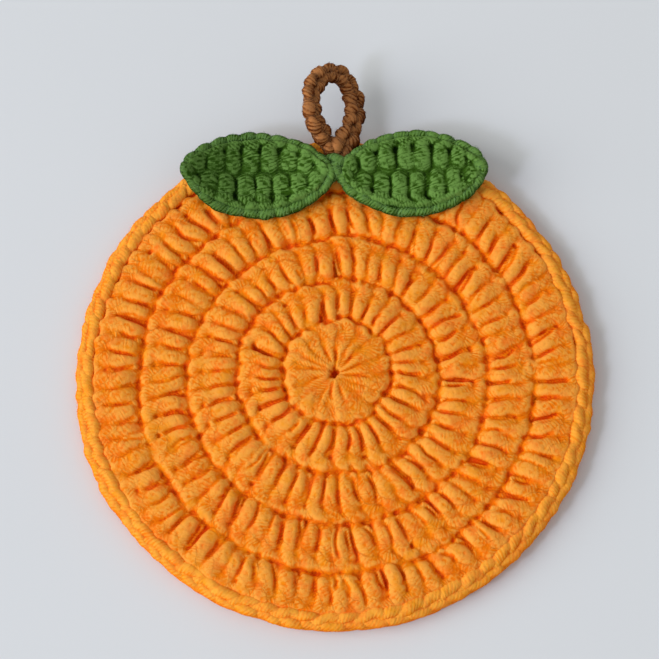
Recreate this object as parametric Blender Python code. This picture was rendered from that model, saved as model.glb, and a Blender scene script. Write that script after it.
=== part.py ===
"""Round crocheted coaster shaped as a citrus fruit, with two sewn-on leaves and a chain hanging loop.

Frame: metres, +Z up.  The origin is the centre of the round mat on the
plane it rests on, +Y points from the mat's centre to the hanging loop.
Four pieces, each one closed solid:
  round_mat     five rounds of tall stitches and a slip-stitch rim, worked as one flat disc
  leaf_left     almond leaf, lying on the mat, on the -X side of the loop
  leaf_right    almond leaf, lying on the mat, on the +X side of the loop
  hanging_loop  crocheted chain sewn down as a teardrop loop, open for a hook; it has
                flopped over, so its -X side stands up and its +X side hangs past the rim
"""
import math

import bmesh
import bpy
from mathutils import Vector

# ----------------------------------------------------------------------
# driving dimensions (metres)
# ----------------------------------------------------------------------
GAP = 0.0003                # clearance between neighbouring pieces

MAT_RADIUS = 0.0575         # outer radius of the rim
MAT_THICK = 0.0048          # yarn is about 2.5 mm, stitches lie two strands deep
MAT_SEGMENTS = 96
MAT_WAVE = 0.0035           # hand-worked unevenness of the outline, as a share of the radius
GROOVE_DEPTH = 0.0008       # valley between two rounds
GROOVE_HALF = 0.0011        # half width of that valley
RIM_DROP = 0.0004           # the rim lies a little lower than the rounds

LEAF_THICK = 0.0037
LEAF_LIFT = MAT_THICK + GAP # underside of the leaves
LEAF_STEPS = 28             # stations along each side of a leaf
LEAF_POWER = 0.68           # fullness of the almond outline
LEAF_VALLEY = 0.0005        # dip along the foundation chain

LOOP_THICK = 0.0036         # depth of the chain, measured upwards
LOOP_CENTRE = (0.0001, 0.0615)    # centre of the opening
LOOP_REST_Z = MAT_THICK + GAP + LOOP_THICK / 2   # height of the chain where it is sewn to the mat
LOOP_RISE = 0.0023          # the free end's middle stands this much higher
LOOP_TILT = 0.80            # fall per unit of X across the free end
LOOP_RISE_BAND = (0.0520, 0.0590)   # Y over which the -X side rises to that tilt
LOOP_FALL_BAND = (0.0565, 0.0630)   # the same for the +X side, which first has to clear the rim
LOOP_STEPS = 48
LOOP_SECTION = 12

# Ends of the rounds, as radii, from the centre out.
#   name          radius
ROUND_ENDS = (
    ("round_1",   0.0119),
    ("round_2",   0.0225),
    ("round_3",   0.0333),
    ("round_4",   0.0439),
    ("round_5",   0.0540),
)

# Section through the rim, below and outside of the last round.
#   name          inset from MAT_RADIUS   height as a share of MAT_THICK
RIM_SECTION = (
    ("floor_edge",   0.0016,   0.00),
    ("lower_turn",   0.0005,   0.13),
    ("lower_side",   0.0000,   0.36),
    ("upper_side",   0.0000,   0.60),
    ("upper_turn",   0.0006,   0.82),
    ("rim_top",      0.0016,   0.92),
)

# The two leaves.
#   name          centre x   centre y   half length   half width   turn (deg)
LEAVES = (
    ("leaf_left",  -0.01750,  0.04535,   0.01725,      0.0102,      -0.6),
    ("leaf_right",  0.01755,  0.04600,   0.01700,      0.0102,       2.0),
)

# Stations of a leaf's section, from its underside round its edge to its middle.
#   name          scale of the outline   height as a share of LEAF_THICK
LEAF_SECTION = (
    ("under",        0.90,    0.00),
    ("lower_edge",   0.985,   0.18),
    ("edge",         1.00,    0.42),
    ("upper_edge",   0.985,   0.72),
    ("shoulder",     0.90,    0.95),
    ("crown",        0.62,    1.00),
)

# Plan of the loop's opening and of its outside, as half sizes about LOOP_CENTRE.
#   name        side      away from mat   towards mat   fullness towards mat
LOOP_PLAN = (
    ("opening",  0.00300,  0.00580,        0.00650,      1.45),
    ("outside",  0.00745,  0.01080,        0.01130,      1.50),
)

COLOURS = {
    "round_mat":    (0.871, 0.279, 0.022, 1.0),
    "leaf_left":    (0.050, 0.178, 0.040, 1.0),
    "leaf_right":   (0.050, 0.178, 0.040, 1.0),
    "hanging_loop": (0.220, 0.078, 0.022, 1.0),
}
YARN_ROUGHNESS = 0.85


# ----------------------------------------------------------------------
# helpers
# ----------------------------------------------------------------------
def clear_scene():
    for ob in list(bpy.data.objects):
        bpy.data.objects.remove(ob, do_unlink=True)


def yarn_material(name):
    mat = bpy.data.materials.new(name)
    mat.use_nodes = True
    bsdf = next(n for n in mat.node_tree.nodes if n.type == "BSDF_PRINCIPLED")
    bsdf.inputs["Base Color"].default_value = COLOURS[name]
    bsdf.inputs["Roughness"].default_value = YARN_ROUGHNESS
    bsdf.inputs["Metallic"].default_value = 0.0
    return mat


def finish(bm, name):
    bmesh.ops.recalc_face_normals(bm, faces=bm.faces)
    me = bpy.data.meshes.new(name)
    bm.to_mesh(me)
    bm.free()
    me.materials.append(yarn_material(name))
    ob = bpy.data.objects.new(name, me)
    bpy.context.scene.collection.objects.link(ob)
    me.shade_smooth()
    me.set_sharp_from_angle(angle=math.radians(50))
    return ob


def ring_of(bm, points):
    """A closed ring of vertices and its edges."""
    verts = [bm.verts.new(p) for p in points]
    edges = [bm.edges.new((verts[i], verts[(i + 1) % len(verts)])) for i in range(len(verts))]
    return verts, edges


# ----------------------------------------------------------------------
# round mat: a turned profile with a valley between each two rounds
# ----------------------------------------------------------------------
def mat_profile():
    """(radius, height) pairs from the middle of the underside, round the rim, to the middle of the top."""
    profile = [(0.0, 0.0)]
    for _name, inset, share in RIM_SECTION:
        profile.append((MAT_RADIUS - inset, share * MAT_THICK))
    last = ROUND_ENDS[-1][1]
    profile.append((last + GROOVE_HALF * 0.4, MAT_THICK - RIM_DROP - GROOVE_DEPTH * 0.5))
    for _name, radius in reversed(ROUND_ENDS):
        if radius != last:
            profile.append((radius + GROOVE_HALF, MAT_THICK))
        profile.append((radius, MAT_THICK - GROOVE_DEPTH))
        profile.append((radius - GROOVE_HALF, MAT_THICK))
    profile.append((0.0014, MAT_THICK))
    profile.append((0.0, MAT_THICK - GROOVE_DEPTH))
    return profile


def outline_wave(angle):
    """Factor on the radius: the slow unevenness of a hand-worked round."""
    return 1.0 + MAT_WAVE * (0.6 * math.cos(2 * angle + 0.5) + 0.4 * math.cos(5 * angle + 1.9))


def build_mat():
    bm = bmesh.new()
    verts = [bm.verts.new((r, 0.0, z)) for r, z in mat_profile()]
    edges = [bm.edges.new(pair) for pair in zip(verts, verts[1:])]
    bmesh.ops.spin(bm, geom=verts + edges, axis=(0, 0, 1), cent=(0, 0, 0),
                   angle=math.tau, steps=MAT_SEGMENTS, use_merge=True)
    bmesh.ops.remove_doubles(bm, verts=bm.verts, dist=1e-6)
    for v in bm.verts:
        r = math.hypot(v.co.x, v.co.y)
        if r > 1e-6:
            blend = min(1.0, r / MAT_RADIUS) ** 2
            k = 1.0 + (outline_wave(math.atan2(v.co.y, v.co.x)) - 1.0) * blend
            v.co.x *= k
            v.co.y *= k
    return finish(bm, "round_mat")


# ----------------------------------------------------------------------
# leaves: an almond outline, filled over a soft section
# ----------------------------------------------------------------------
def leaf_outline(half_length, half_width):
    """Points round the almond, evenly turned from tip to tip on both sides."""
    points = []
    for side in (1, -1):
        for i in range(LEAF_STEPS):
            t = math.cos(math.pi * i / LEAF_STEPS) * side
            w = half_width * (1.0 - t * t) ** LEAF_POWER * side
            points.append((t * half_length, w))
    return points


def build_leaf(name, cx, cy, half_length, half_width, turn):
    bm = bmesh.new()
    outline = leaf_outline(half_length, half_width)
    loops = []
    for _station, scale, share in LEAF_SECTION:
        # every station keeps the same distance from the edge at the tips as at the sides
        shrink = (1.0 - scale) * half_width
        sx = (half_length - shrink) / half_length
        sy = (half_width - shrink) / half_width
        loops.append(ring_of(bm, [(x * sx, y * sy, share * LEAF_THICK) for x, y in outline]))
    for (_va, ea), (_vb, eb) in zip(loops, loops[1:]):
        bmesh.ops.bridge_loops(bm, edges=ea + eb)
    bm.faces.new(loops[0][0])
    # the crown closes onto the foundation chain, a straight valley from tip to tip
    crown = loops[-1][0]
    n = len(crown)
    spine = []
    for i in range(1, LEAF_STEPS):
        a, b = crown[i].co, crown[n - i].co
        spine.append(bm.verts.new(((a.x + b.x) / 2, (a.y + b.y) / 2, LEAF_THICK - LEAF_VALLEY)))
    first, last = crown[0], crown[LEAF_STEPS]
    bm.faces.new((first, crown[1], spine[0]))
    bm.faces.new((first, spine[0], crown[n - 1]))
    for i in range(1, LEAF_STEPS - 1):
        bm.faces.new((crown[i], crown[i + 1], spine[i], spine[i - 1]))
        bm.faces.new((crown[n - i], spine[i - 1], spine[i], crown[n - i - 1]))
    bm.faces.new((crown[LEAF_STEPS - 1], last, spine[-1]))
    bm.faces.new((spine[-1], last, crown[LEAF_STEPS + 1]))
    bmesh.ops.triangulate(bm, faces=[f for f in bm.faces if len(f.verts) == 4])
    ob = finish(bm, name)
    ob.location = Vector((cx, cy, LEAF_LIFT))
    ob.rotation_euler = (0.0, 0.0, math.radians(turn))
    return ob


# ----------------------------------------------------------------------
# hanging loop: a rounded strip between the opening's outline and its own
# ----------------------------------------------------------------------
def egg(plan, angle):
    """Distance from LOOP_CENTRE to one outline of the loop, in the direction of angle."""
    _name, side, away, towards, fullness = plan
    c, s = math.cos(angle), math.sin(angle)
    length = away if s > 0 else towards
    power = 2.0 if s > 0 else fullness
    # |x/side|^p + |y/length|^p = 1 with p easing from 2 at the side to its value at the end
    p = 2.0 + (power - 2.0) * abs(s)
    return (abs(c / side) ** p + abs(s / length) ** p) ** (-1.0 / p)


def loop_height(x, y):
    """Height of the chain's middle: level where it is sewn down, tilted across at its free end."""
    rise = LOOP_RISE - LOOP_TILT * (x - LOOP_CENTRE[0])
    start, end = LOOP_RISE_BAND if rise > 0 else LOOP_FALL_BAND
    t = min(1.0, max(0.0, (y - start) / (end - start)))
    return LOOP_REST_Z + rise * t * t * (3 - 2 * t)


def build_loop():
    bm = bmesh.new()
    rings = []
    for i in range(LOOP_STEPS):
        angle = math.tau * (i + 0.5) / LOOP_STEPS
        inner, outer = egg(LOOP_PLAN[0], angle), egg(LOOP_PLAN[1], angle)
        middle, half = (inner + outer) / 2, (outer - inner) / 2
        c, s = math.cos(angle), math.sin(angle)
        points = []
        for j in range(LOOP_SECTION):
            turn = math.tau * (j + 0.5) / LOOP_SECTION
            r = middle + half * math.cos(turn) / math.cos(math.pi / LOOP_SECTION)
            x, y = LOOP_CENTRE[0] + r * c, LOOP_CENTRE[1] + r * s
            z = loop_height(x, y) + LOOP_THICK / 2 * math.sin(turn) / math.cos(math.pi / LOOP_SECTION)
            points.append((x, y, z))
        rings.append(ring_of(bm, points))
    for i in range(LOOP_STEPS):
        bmesh.ops.bridge_loops(bm, edges=rings[i][1] + rings[(i + 1) % LOOP_STEPS][1])
    bmesh.ops.triangulate(bm, faces=bm.faces)
    return finish(bm, "hanging_loop")


def main():
    clear_scene()
    build_mat()
    for row in LEAVES:
        build_leaf(*row)
    build_loop()


main()
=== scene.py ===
"""Looks of the crocheted coaster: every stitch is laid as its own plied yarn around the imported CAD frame.

Working units below are millimetres; meshes are written in metres.
"""
import math

import bpy
import numpy as np
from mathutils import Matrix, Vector


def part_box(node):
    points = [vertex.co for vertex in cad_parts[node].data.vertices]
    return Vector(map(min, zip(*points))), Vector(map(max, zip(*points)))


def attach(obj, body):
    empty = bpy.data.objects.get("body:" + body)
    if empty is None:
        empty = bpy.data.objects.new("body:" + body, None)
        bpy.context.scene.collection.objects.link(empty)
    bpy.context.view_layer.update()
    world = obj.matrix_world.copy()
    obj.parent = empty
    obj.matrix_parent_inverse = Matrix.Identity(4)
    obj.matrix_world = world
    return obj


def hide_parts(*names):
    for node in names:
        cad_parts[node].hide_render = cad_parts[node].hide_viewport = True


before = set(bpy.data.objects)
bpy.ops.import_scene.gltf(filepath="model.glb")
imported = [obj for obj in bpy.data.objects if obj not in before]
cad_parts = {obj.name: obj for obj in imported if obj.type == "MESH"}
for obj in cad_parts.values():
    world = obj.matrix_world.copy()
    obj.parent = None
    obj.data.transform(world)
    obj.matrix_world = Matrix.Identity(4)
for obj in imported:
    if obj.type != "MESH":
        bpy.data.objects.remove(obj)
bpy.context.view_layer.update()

MM = 0.001
TAU = math.tau

# ----------------------------------------------------------------------
# sizes (mm)
# ----------------------------------------------------------------------
MAT_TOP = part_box("round_mat")[1][2] / MM
LEAF_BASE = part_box("leaf_left")[0][2] / MM
LEAF_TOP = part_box("leaf_left")[1][2] / MM
SEAM_DEG = 92.0                      # where every round starts and joins, just past the loop

# name       stitches   radius   centre x   centre y   height of its crown
ROUNDS = (
    ("ring",        0,    0.85,    -0.35,     -1.00,     2.6),
    ("round_1",    16,   11.80,     0.30,     -0.45,     3.25),
    ("round_2",    31,   22.25,     0.55,     -1.15,     3.25),
    ("round_3",    46,   33.00,     0.60,     -1.65,     3.25),
    ("round_4",    61,   43.40,     0.45,     -1.75,     3.25),
    ("round_5",    76,   53.60,     0.02,     -0.80,     3.20),
)
RIM_RADIUS = 56.1
RIM_LINKS = 76


# ----------------------------------------------------------------------
# yarn: batches of tubes swept along smooth curves
# ----------------------------------------------------------------------
def smooth(points, count):
    """Catmull-Rom through points (S, K, D), sampled at count places: (S, count, D)."""
    s, k, d = points.shape
    first = 2 * points[:, :1] - points[:, 1:2]
    last = 2 * points[:, -1:] - points[:, -2:-1]
    p = np.concatenate([first, points, last], axis=1)
    t = np.linspace(0, k - 1 - 1e-9, count)
    i = np.floor(t).astype(int)
    f = (t - i)[None, :, None]
    p0, p1, p2, p3 = p[:, i], p[:, i + 1], p[:, i + 2], p[:, i + 3]
    return 0.5 * (
        2 * p1
        + (p2 - p0) * f
        + (2 * p0 - 5 * p1 + 4 * p2 - p3) * f**2
        + (3 * p1 - p0 - 3 * p2 + p3) * f**3
    )


def even(points, radii, count):
    """Resamples batches of smooth curves and their radii at equal steps of length."""
    dense = smooth(np.concatenate([points, radii[..., None]], axis=2), count * 4)
    step = np.linalg.norm(np.diff(dense[..., :3], axis=1), axis=2)
    run = np.concatenate([np.zeros((len(dense), 1)), np.cumsum(step, axis=1)], axis=1)
    out = np.empty((len(dense), count, 4))
    for n in range(len(dense)):
        at = np.linspace(0, run[n, -1], count)
        for c in range(4):
            out[n, :, c] = np.interp(at, run[n], dense[n, :, c])
    return out[..., :3], out[..., 3], run[:, -1]


def unit(v):
    return v / np.maximum(np.linalg.norm(v, axis=-1, keepdims=True), 1e-9)


WAVES = np.random.default_rng(7).normal(0, 1, (10, 3)), np.random.default_rng(8).uniform(0, TAU, (10, 3))


def warp(p, amount=0.22):
    """Small slow shifts of the whole cloth, so that no two stitches sit quite alike."""
    q = p.copy()
    for (kx, ky, _kz), ph in zip(*WAVES):
        arg = 0.42 * (kx * p[:, 0] + ky * p[:, 1])
        q[:, 0] += amount * 0.33 * np.sin(arg + ph[0])
        q[:, 1] += amount * 0.33 * np.sin(arg + ph[1])
        q[:, 2] += amount * 0.20 * np.sin(arg + ph[2]) * np.clip(p[:, 2] / 3.0, 0, 1)
    return q


class Yarn:
    """Collects batches of tubes for one joined mesh."""

    def __init__(self, seed, plies=5, pitch=3.9):
        self.plies, self.pitch = plies, pitch
        self.rng = np.random.default_rng(seed)
        self.verts, self.faces, self.uvs, self.strand, self.count = [], [], [], [], 0
        self.caps, self.crest, self.hair = [], [], []

    def sweep(self, points, radii, count, sides, ref, wide=1.0, deep=1.0, square=2.0, lumps=0.035, rough=0.022, floor=None, taper=0.45, hairs=0.0, ridge=0.03):
        """points (S, K, 3), radii (S, K), ref (S, 3): a direction the path never follows, kept to the yarn's side."""
        rng = self.rng
        points = np.asarray(points, float)
        s = len(points)
        radii = np.broadcast_to(np.asarray(radii, float), points.shape[:2]).copy()
        line, r, length = even(points, radii, count)
        tangent = unit(np.gradient(line, axis=1))
        ref = np.broadcast_to(np.asarray(ref, float).reshape(-1, 1, 3), tangent.shape)
        side = unit(ref - (ref * tangent).sum(-1, keepdims=True) * tangent)
        up = np.cross(tangent, side)
        along = length[:, None] * np.linspace(0, 1, count)[None]
        ends = np.ones(count)
        ends[0] = ends[-1] = taper
        ends[1] = ends[-2] = (1 + taper) / 2 + 0.15
        turn = TAU * np.arange(sides) / sides
        c, sn = np.cos(turn), np.sin(turn)
        c, sn = (np.sign(x) * np.abs(x) ** (2 / square) for x in (c, sn))
        phase = rng.uniform(0, TAU, (s, 6))
        swell = (
            np.sin(along * 1.05 + phase[:, :1])
            + 0.7 * np.sin(along * 2.3 + phase[:, 1:2])
        )[..., None] * lumps * 0.5
        knob = (
            np.sin(along[..., None] * 1.7 + 2 * turn + phase[:, 2:3, None])
            + np.sin(along[..., None] * 0.9 - turn + phase[:, 3:4, None])
        ) * lumps * 0.6
        grain = rng.normal(0, rough, knob.shape)
        grain = 0.6 * grain + 0.2 * (np.roll(grain, 1, 2) + np.roll(grain, -1, 2))
        offset = rng.uniform(0, 50, (s, 1))
        ply = self.plies * (turn / TAU) + (along + offset)[..., None] * (self.plies / self.pitch)
        ply = np.abs(np.sin(math.pi * ply)) ** 0.7 - 0.65
        rr = (r * ends)[..., None] * (1 + swell + knob + grain + ridge * ply)
        ring = (
            line[:, :, None, :]
            + (rr * c * wide)[..., None] * side[:, :, None, :]
            + (rr * sn * deep)[..., None] * up[:, :, None, :]
        )
        if floor is not None:
            ring[..., 2] = np.maximum(ring[..., 2], floor)
        if hairs:
            self.comb(ring, line, tangent, rr, int(hairs * float(length.sum())))
        self.verts.append(warp(ring.reshape(-1, 3)))
        # crest: height round each tube, from which the material paints shade on the strands' lower sides
        self.crest.append(((ring[..., 2] - line[:, :, None, 2]) / np.maximum(r, 0.2)[..., None]).ravel())
        m = np.arange(s)[:, None, None] * count * sides
        i = np.arange(count - 1)[None, :, None] * sides
        j = np.arange(sides)[None, None, :]
        j2 = (j + 1) % sides
        quads = np.stack([m + i + j, m + i + j2, m + i + sides + j2, m + i + sides + j], -1)
        self.faces.append((quads.reshape(-1, 4) + self.count)[:, ::-1])
        first = (np.arange(s)[:, None] * count * sides + np.arange(sides)[None]) + self.count
        self.caps += [first, (first + (count - 1) * sides)[:, ::-1]]
        # U runs once round the yarn, V is its length in mm
        u = np.broadcast_to(j / sides, quads.shape[:3])
        u2 = np.broadcast_to((j + 1) / sides, quads.shape[:3])
        v = np.broadcast_to((along + offset)[:, :-1, None], quads.shape[:3])
        v2 = np.broadcast_to((along + offset)[:, 1:, None], quads.shape[:3])
        uv = np.stack([np.stack([u, v], -1), np.stack([u2, v], -1), np.stack([u2, v2], -1), np.stack([u, v2], -1)], -2)
        self.uvs.append(uv.reshape(-1, 4, 2)[:, ::-1])
        self.strand.append(np.repeat(rng.uniform(0, 1, s), count * sides))
        self.count += s * count * sides
        return length

    def comb(self, ring, line, tangent, rr, count):
        """Stray fibres: thin ribbons that arch off the yarn and lie back along it."""
        rng = self.rng
        s, c, n = ring.shape[:3]
        a, i, j = rng.integers(0, s, count), rng.integers(2, c - 2, count), rng.integers(0, n, count)
        foot = ring[a, i, j]
        out = unit(foot - line[a, i])
        seen = (out[:, 2] > -0.1) & (foot[:, 2] > self.hair_floor)
        a, i, j, foot, out = a[seen], i[seen], j[seen], foot[seen], out[seen]
        m = len(foot)
        if not m:
            return
        t = tangent[a, i]
        b = unit(np.cross(out, t))
        phi = np.where(rng.random(m) < 0.75, rng.normal(1.15, 0.35, m), rng.uniform(-1.5, 1.5, m))
        run = t * np.cos(phi)[:, None] + b * np.sin(phi)[:, None]
        side = unit(np.cross(run, out))
        bow = np.sin(phi) ** 2 / np.maximum(rr[a, i, j], 0.5)
        long = rng.uniform(0.7, 2.1, m)
        arch = rng.gamma(2.0, 0.055, m) + 0.02
        curl = rng.normal(0, 0.22, m)
        step = np.linspace(0, 1, 4)[None, :, None]
        x = (step - 0.5) * long[:, None, None]
        path = (
            foot[:, None]
            + run[:, None] * x
            + out[:, None] * (arch[:, None, None] * np.sin(math.pi * np.clip(step * 1.0, 0, 1)) - bow[:, None, None] * x**2 / 2 + 0.01)
            + side[:, None] * curl[:, None, None] * (4 * (step - 0.5) ** 2)
        )
        half = rng.uniform(0.016, 0.030, m)[:, None, None] * np.array([0.5, 1.0, 1.0, 0.35])[None, :, None]
        pair = np.stack([path - side[:, None] * half, path + side[:, None] * half], 2)
        self.hair.append(pair.reshape(m, 8, 3))

    hair_floor = 2.9

    def mesh(self, name, material):
        verts = np.concatenate(self.verts) * MM
        quads = np.concatenate(self.faces)
        caps = [c for batch in self.caps for c in batch]
        n_quads, n_caps = len(quads), len(caps)
        sizes = np.concatenate([np.full(n_quads, 4), np.array([len(c) for c in caps], int)])
        corner = np.concatenate([quads.ravel()] + caps)
        me = bpy.data.meshes.new(name)
        me.vertices.add(len(verts))
        me.vertices.foreach_set("co", verts.astype(np.float32).ravel())
        me.loops.add(len(corner))
        me.loops.foreach_set("vertex_index", corner.astype(np.int32))
        me.polygons.add(len(sizes))
        me.polygons.foreach_set("loop_start", np.concatenate([[0], np.cumsum(sizes)[:-1]]).astype(np.int32))
        me.polygons.foreach_set("loop_total", sizes.astype(np.int32))
        me.polygons.foreach_set("use_smooth", np.ones(len(sizes), bool))
        layer = me.uv_layers.new(name="yarn")
        uv = np.zeros((len(corner), 2), np.float32)
        uv[: n_quads * 4] = np.concatenate(self.uvs).reshape(-1, 2)
        layer.uv.foreach_set("vector", uv.ravel())
        attr = me.attributes.new("strand", "FLOAT", "POINT")
        attr.data.foreach_set("value", np.concatenate(self.strand).astype(np.float32))
        attr = me.attributes.new("crest", "FLOAT", "POINT")
        attr.data.foreach_set("value", np.clip(np.concatenate(self.crest), -1, 1).astype(np.float32))
        me.update(calc_edges=True)
        me.validate(clean_customdata=False)
        me.materials.append(material)
        ob = bpy.data.objects.new(name, me)
        bpy.context.scene.collection.objects.link(ob)
        return ob


class Relief:
    """The upper face of many strands lying side by side and pressed into each other, on a square lattice."""

    def __init__(self, low, high, cell, level, seed):
        self.rng = np.random.default_rng(seed)
        self.cell = cell
        self.x = np.arange(low[0], high[0] + cell, cell)
        self.y = np.arange(low[1], high[1] + cell, cell)
        shape = (len(self.y), len(self.x))
        self.z = np.full(shape, float(level))
        self.along, self.across, self.strand = np.zeros(shape), np.zeros(shape), np.zeros(shape)
        self.crest = np.full(shape, -0.3)
        self.shift = np.zeros(shape + (2,))

    def press(self, points, half, drop, power=2.5, soft=0.22, count=16):
        """points (S, K, 3) run along the tops of the strands; half (S, K) is half the width, drop the fall to the side."""
        points = np.asarray(points, float)
        half = np.broadcast_to(np.asarray(half, float), points.shape[:2]).copy()
        lines, halves, length = even(points, half, count)
        for p, w, total in zip(lines, halves, length):
            i0, i1 = np.searchsorted(self.x, ((p[:, 0] - w).min(), (p[:, 0] + w).max()))
            j0, j1 = np.searchsorted(self.y, ((p[:, 1] - w).min(), (p[:, 1] + w).max()))
            if i1 <= i0 or j1 <= j0:
                continue
            a, d = p[:-1], p[1:] - p[:-1]
            qx = self.x[i0:i1][None, :, None] - a[:, 0]
            qy = self.y[j0:j1][:, None, None] - a[:, 1]
            size = np.maximum((d[:, :2] ** 2).sum(-1), 1e-6)
            free = (qx * d[:, 0] + qy * d[:, 1]) / size
            t = np.clip(free, 0, 1)
            ex, ey = qx - t * d[:, 0], qy - t * d[:, 1]
            rel = np.sqrt(ex * ex + ey * ey) / (w[:-1] + (w[1:] - w[:-1]) * t)
            body = np.maximum(1 - np.minimum(rel, 1) ** power, 0) ** (1 / power)
            h = np.where(rel < 1, a[:, 2] + d[:, 2] * t - drop * (1 - body), -1e3)
            m = h.argmax(-1)[..., None]
            pick = lambda v: np.take_along_axis(v, m, -1)[..., 0]
            # round the two ends the yarn is taken to run on straight
            bend = np.sign(pick(ex * -d[:, 1] + ey * d[:, 0])) * np.minimum(pick(rel), 1)
            flat = pick((ex * -d[:, 1] + ey * d[:, 0]) / np.sqrt(size) / w[:-1])
            free, which = pick(free), m[..., 0]
            over = ((which == 0) & (free < 0)) | ((which == len(d) - 1) & (free > 1))
            side = np.where(over, np.clip(flat, -1, 1), bend)
            run = (which + np.where(over, free, np.clip(free, 0, 1))) * total / (count - 1)
            h = pick(h)
            win = (slice(j0, j1), slice(i0, i1))
            old = self.z[win]
            near = np.maximum(soft - np.abs(h - old), 0) / soft
            take = h > old
            self.z[win] = np.maximum(h, old) + near * near * soft / 4 * (h > -100)
            for field, value in ((self.along, run + self.rng.uniform(0, 40)), (self.across, side), (self.strand, self.rng.uniform(0, 1)), (self.crest, pick(body))):
                field[win] = np.where(take, value, field[win])

    def cut(self, points, half, depth):
        """Narrow slots where the cloth opens between two strands: points (S, K, 2), half (S,), depth (S,)."""
        lines = smooth(np.asarray(points, float), 12)
        for p, w, deep in zip(lines, half, depth):
            i0, i1 = np.searchsorted(self.x, (p[:, 0].min() - 3 * w, p[:, 0].max() + 3 * w))
            j0, j1 = np.searchsorted(self.y, (p[:, 1].min() - 3 * w, p[:, 1].max() + 3 * w))
            if i1 <= i0 or j1 <= j0:
                continue
            a, d = p[:-1], p[1:] - p[:-1]
            qx = self.x[i0:i1][None, :, None] - a[:, 0]
            qy = self.y[j0:j1][:, None, None] - a[:, 1]
            t = np.clip((qx * d[:, 0] + qy * d[:, 1]) / np.maximum((d**2).sum(-1), 1e-6), 0, 1)
            far = np.sqrt((qx - t * d[:, 0]) ** 2 + (qy - t * d[:, 1]) ** 2)
            m = far.argmin(-1)[..., None]
            far = np.take_along_axis(far, m, -1)[..., 0]
            run = (m[..., 0] + np.take_along_axis(t, m, -1)[..., 0]) / (len(p) - 1)
            self.z[j0:j1, i0:i1] -= deep * np.exp(-((far / w) ** 2)) * np.sqrt(np.clip(4 * run * (1 - run), 0.05, 1))

    def noise(self, wave):
        """Smooth random field, about -1..1, with features of the given size in mm."""
        def weights(n):
            pos = np.arange(n) * self.cell / wave
            m = int(pos[-1]) + 4
            w = np.zeros((n, m))
            i, f = pos.astype(int), pos - pos.astype(int)
            rows = np.arange(n)
            for k, v in enumerate(((1 - f) ** 3 / 6, (3 * f**3 - 6 * f**2 + 4) / 6, (-3 * f**3 + 3 * f**2 + 3 * f + 1) / 6, f**3 / 6)):
                w[rows, i + k] = v
            return w
        wy, wx = weights(len(self.y)), weights(len(self.x))
        return wy @ self.rng.normal(0, 1.5, (wy.shape[1], wx.shape[1])) @ wx.T

    @staticmethod
    def soft(z, times=1):
        for _ in range(times):
            z = np.concatenate([z[:1], z, z[-1:]], 0)
            z = 0.25 * z[:-2] + 0.5 * z[1:-1] + 0.25 * z[2:]
            z = np.concatenate([z[:, :1], z, z[:, -1:]], 1)
            z = 0.25 * z[:, :-2] + 0.5 * z[:, 1:-1] + 0.25 * z[:, 2:]
        return z

    def finish(self, plies=5, pitch=3.9, ridge=0.06, lumps=1.0, blur=3):
        """Wool: lumps of several sizes, ridges of the plies, wandering creases; crest tells tops from creases."""
        self.z = self.soft(self.z, blur)
        turn = plies * (np.arcsin(np.clip(self.across, -1, 1)) / TAU + self.along / pitch)
        wave = (np.abs(np.sin(math.pi * turn)) ** 0.8 - 0.62) * (1 - np.abs(self.across) ** 4)
        self.z += ridge * self.soft(wave * np.clip(0.6 + 1.0 * self.noise(1.6), 0, 1.6))
        self.z += lumps * (0.060 * self.noise(2.3) + 0.040 * self.noise(1.15) + 0.025 * self.noise(0.6))
        # crest: tops against creases, from which the material paints shade into the creases
        wide = self.soft(self.z, 14)
        self.crest = np.clip(0.55 + (self.z - wide) / 0.26, -1, 1)
        for c in (0, 1):
            self.shift[..., c] = lumps * (0.16 * self.noise(2.7) + 0.05 * self.noise(1.2))

    def mesh(self, name, material, keep, place=None):
        """The lattice squares for which keep (ny - 1, nx - 1) holds."""
        ny, nx = self.z.shape
        j, i = np.nonzero(keep)
        corner = np.stack([j * nx + i, j * nx + i + 1, (j + 1) * nx + i + 1, (j + 1) * nx + i], -1)
        used, index = np.unique(corner, return_inverse=True)
        index = index.reshape(corner.shape)
        gx, gy = np.meshgrid(self.x, self.y)
        gx, gy = gx + self.shift[..., 0], gy + self.shift[..., 1]
        verts = np.stack([gx.ravel()[used], gy.ravel()[used], self.z.ravel()[used]], -1)
        if place is not None:
            verts = place(verts)
        me = bpy.data.meshes.new(name)
        me.vertices.add(len(verts))
        me.vertices.foreach_set("co", (verts * MM).astype(np.float32).ravel())
        me.loops.add(index.size)
        me.loops.foreach_set("vertex_index", index.astype(np.int32).ravel())
        me.polygons.add(len(index))
        me.polygons.foreach_set("loop_start", (np.arange(len(index)) * 4).astype(np.int32))
        me.polygons.foreach_set("loop_total", np.full(len(index), 4, np.int32))
        me.polygons.foreach_set("use_smooth", np.ones(len(index), bool))
        around = np.arcsin(np.clip(self.across, -1, 1)).ravel()[used] / TAU
        layer = me.uv_layers.new(name="yarn")
        layer.uv.foreach_set("vector", np.stack([around, self.along.ravel()[used]], -1)[index.ravel()].astype(np.float32).ravel())
        for key, field in (("strand", self.strand), ("crest", self.crest)):
            attr = me.attributes.new(key, "FLOAT", "POINT")
            attr.data.foreach_set("value", field.ravel()[used].astype(np.float32))
        me.update(calc_edges=True)
        me.materials.append(material)
        ob = bpy.data.objects.new(name, me)
        bpy.context.scene.collection.objects.link(ob)
        return ob


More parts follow.
